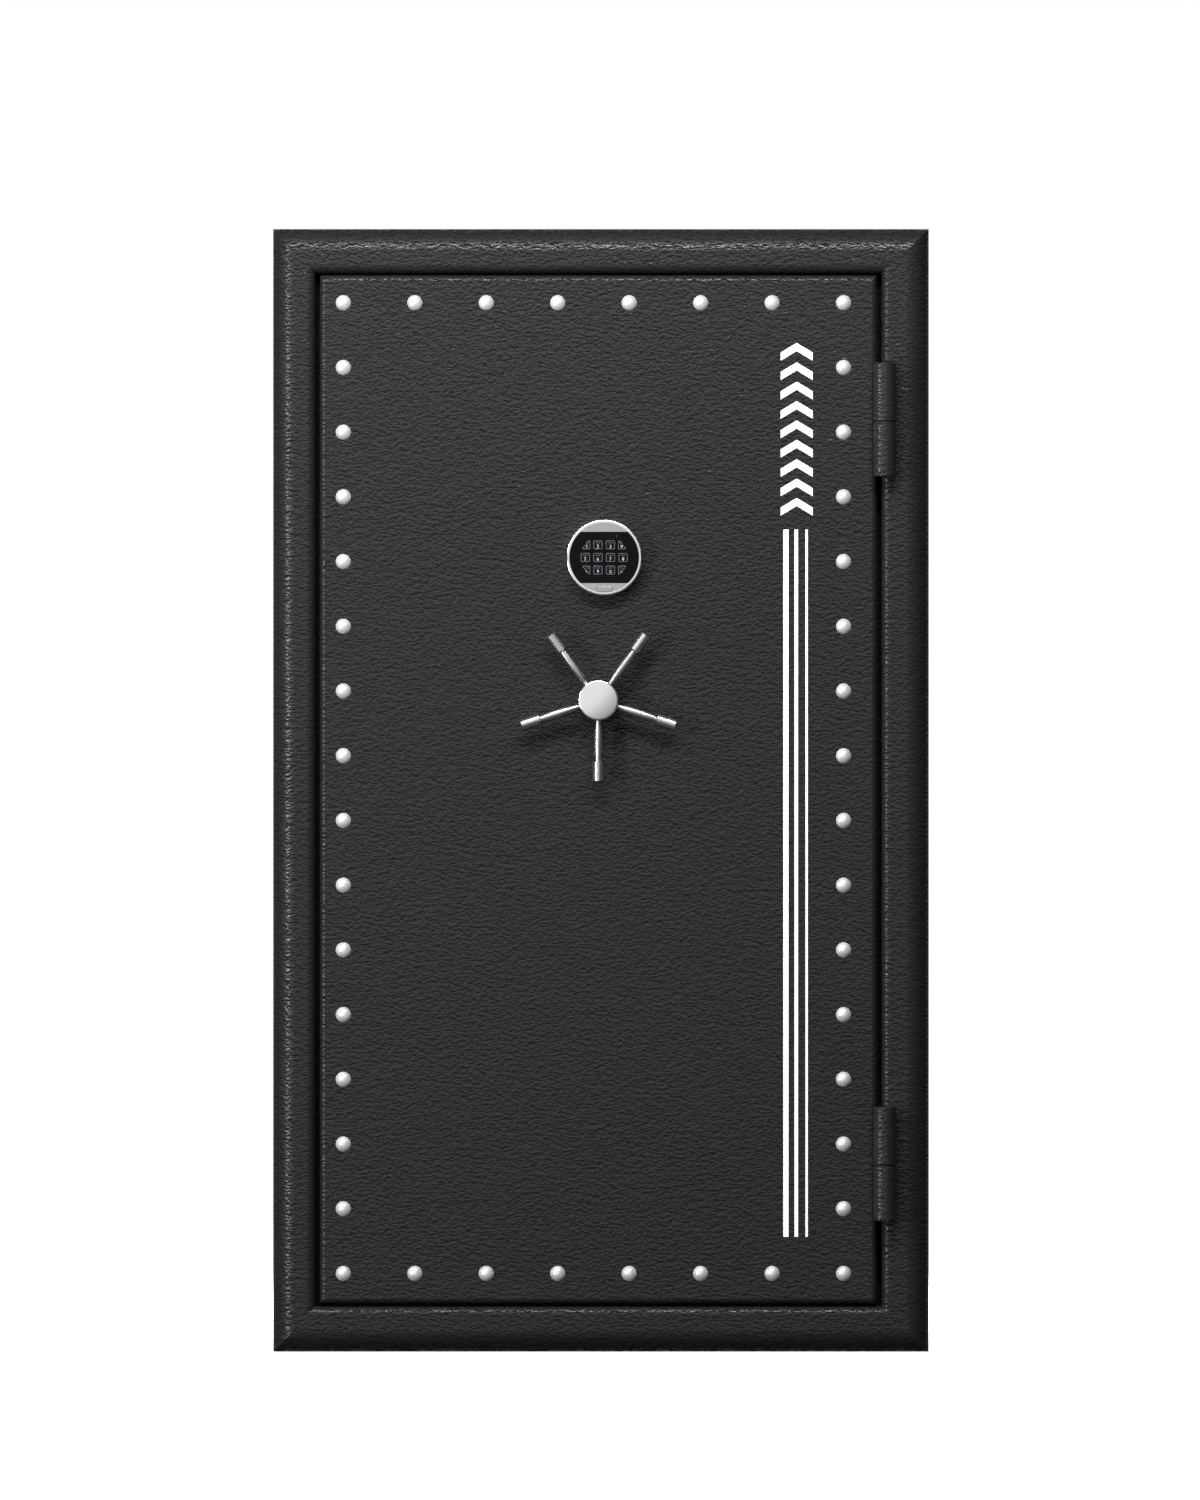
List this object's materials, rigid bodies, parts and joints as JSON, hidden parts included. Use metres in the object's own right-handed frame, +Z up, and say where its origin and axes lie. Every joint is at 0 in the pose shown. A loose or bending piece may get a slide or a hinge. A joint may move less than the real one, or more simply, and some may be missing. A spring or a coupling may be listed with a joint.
{
  "type": "gun safe",
  "caption": "Upright steel gun safe: flush door on external barrel hinges, round electronic keypad, spoked handle driving locking bolts, and a lined interior with shelves and a barrel rack.",
  "frame": {"origin": "centre of the anchor-hole pattern, on the floor plane", "axes": "+Z up, +Y towards the back, +X to the right as seen from the front; the door faces -Y"},
  "size_m": [0.89, 0.6542, 1.524],
  "materials": {
    "powder_coat": "matte",
    "hinge_paint": "satin",
    "bright_chrome": "polished",
    "satin_nickel": "satin",
    "silver_casting": "satin",
    "plain_steel": "satin",
    "black_panel": "gloss",
    "black_keys": "satin",
    "white_film": "satin",
    "fire_board": "matte",
    "grey_lining": "matte",
    "carpeted_board": "matte",
    "seal_rubber": "matte",
    "bush_brass": "satin"
  },
  "bodies": {
    "cabinet": {"left_panel": "powder_coat", "right_panel": "powder_coat", "top_panel": "powder_coat", "bottom_panel": "powder_coat", "back_panel": "powder_coat", "side_fire_boards": "fire_board", "floor_and_roof_fire_boards": "fire_board", "back_fire_board": "fire_board", "wall_linings": "grey_lining", "floor_carpet": "carpeted_board", "door_seal": "seal_rubber", "top_shelf": "carpeted_board", "divider": "carpeted_board", "shelf_standards": "plain_steel", "shelf_clips": "plain_steel", "side_shelves": "carpeted_board", "barrel_rack": "carpeted_board", "hinge_frame_knuckles": "hinge_paint", "hinge_pins": "plain_steel"},
    "handle": {"handle_hub": "satin_nickel", "handle_spokes": "bright_chrome", "handle_grips": "bright_chrome", "handle_shaft": "plain_steel", "pinion": "plain_steel"},
    "left_boltwork": {"left_bolt_bar": "plain_steel", "left_bolts": "bright_chrome"},
    "right_boltwork": {"right_bolt_bar": "plain_steel", "right_bolts": "bright_chrome"},
    "top_boltwork": {"top_bolt_bar": "plain_steel", "top_bolts": "bright_chrome"},
    "bottom_boltwork": {"bottom_bolt_bar": "plain_steel", "bottom_bolts": "bright_chrome"},
    "lock_bolt_slide": {"lock_bolt": "plain_steel"},
    "button_1": {"key_1": "black_keys"},
    "button_2": {"key_2": "black_keys"},
    "button_3": {"key_3": "black_keys"},
    "button_4": {"key_4": "black_keys"},
    "button_5": {"key_5": "black_keys"},
    "button_6": {"key_6": "black_keys"},
    "button_7": {"key_7": "black_keys"},
    "button_8": {"key_8": "black_keys"},
    "button_star": {"key_star": "black_keys"},
    "button_9": {"key_9": "black_keys"},
    "button_0": {"key_0": "black_keys"},
    "button_hash": {"key_hash": "black_keys"},
    "door": {"bolt_pan": "powder_coat", "boltwork_bridge": "plain_steel", "dome_bolts": "satin_nickel", "door_back_cover": "grey_lining", "door_fire_board": "fire_board", "door_inner_plate": "powder_coat", "door_skin": "powder_coat", "door_stripes": "white_film", "handle_escutcheon": "bright_chrome", "hard_plate": "plain_steel", "hinge_door_knuckles": "hinge_paint", "keypad_face": "black_panel", "keypad_housing": "silver_casting", "lock_case": "plain_steel", "shaft_bushes": "bush_brass"}
  },
  "joints": [
    {"name": "door_swing", "type": "hinge", "parent": "cabinet", "child": "door", "pos_m": [0.3846, -0.321, 0.76], "axis": [0, 0, 1], "range_deg": [0, 180]},
    {"name": "handle_turn", "type": "hinge", "parent": "door", "child": "handle", "pos_m": [-0.0035, -0.33, 0.8842], "axis": [0, -1, 0], "range_deg": [0, 90]},
    {"name": "left_bolts_throw", "type": "slide", "parent": "door", "child": "left_boltwork", "axis": [-1, 0, 0], "range_m": [0, 0.0315]},
    {"name": "right_bolts_throw", "type": "slide", "parent": "door", "child": "right_boltwork", "axis": [1, 0, 0], "range_m": [0, 0.0315]},
    {"name": "top_bolts_throw", "type": "slide", "parent": "door", "child": "top_boltwork", "axis": [0, 0, 1], "range_m": [0, 0.0315]},
    {"name": "bottom_bolts_throw", "type": "slide", "parent": "door", "child": "bottom_boltwork", "axis": [0, 0, -1], "range_m": [0, 0.0315]},
    {"name": "lock_bolt_throw", "type": "slide", "parent": "door", "child": "lock_bolt_slide", "axis": [0, 0, -1], "range_m": [0, 0.01]},
    {"name": "press_1", "type": "slide", "parent": "door", "child": "button_1", "axis": [0, 1, 0], "range_m": [0, 0.001], "stiffness_N_per_m": 1200},
    {"name": "press_2", "type": "slide", "parent": "door", "child": "button_2", "axis": [0, 1, 0], "range_m": [0, 0.001], "stiffness_N_per_m": 1200},
    {"name": "press_3", "type": "slide", "parent": "door", "child": "button_3", "axis": [0, 1, 0], "range_m": [0, 0.001], "stiffness_N_per_m": 1200},
    {"name": "press_4", "type": "slide", "parent": "door", "child": "button_4", "axis": [0, 1, 0], "range_m": [0, 0.001], "stiffness_N_per_m": 1200},
    {"name": "press_5", "type": "slide", "parent": "door", "child": "button_5", "axis": [0, 1, 0], "range_m": [0, 0.001], "stiffness_N_per_m": 1200},
    {"name": "press_6", "type": "slide", "parent": "door", "child": "button_6", "axis": [0, 1, 0], "range_m": [0, 0.001], "stiffness_N_per_m": 1200},
    {"name": "press_7", "type": "slide", "parent": "door", "child": "button_7", "axis": [0, 1, 0], "range_m": [0, 0.001], "stiffness_N_per_m": 1200},
    {"name": "press_8", "type": "slide", "parent": "door", "child": "button_8", "axis": [0, 1, 0], "range_m": [0, 0.001], "stiffness_N_per_m": 1200},
    {"name": "press_star", "type": "slide", "parent": "door", "child": "button_star", "axis": [0, 1, 0], "range_m": [0, 0.001], "stiffness_N_per_m": 1200},
    {"name": "press_9", "type": "slide", "parent": "door", "child": "button_9", "axis": [0, 1, 0], "range_m": [0, 0.001], "stiffness_N_per_m": 1200},
    {"name": "press_0", "type": "slide", "parent": "door", "child": "button_0", "axis": [0, 1, 0], "range_m": [0, 0.001], "stiffness_N_per_m": 1200},
    {"name": "press_hash", "type": "slide", "parent": "door", "child": "button_hash", "axis": [0, 1, 0], "range_m": [0, 0.001], "stiffness_N_per_m": 1200}
  ],
  "couplings": [
    {"joint": "left_bolts_throw", "follows": "handle_turn", "m_per_rad": 0.02},
    {"joint": "right_bolts_throw", "follows": "handle_turn", "m_per_rad": 0.02},
    {"joint": "top_bolts_throw", "follows": "handle_turn", "m_per_rad": 0.02},
    {"joint": "bottom_bolts_throw", "follows": "handle_turn", "m_per_rad": 0.02}
  ]
}
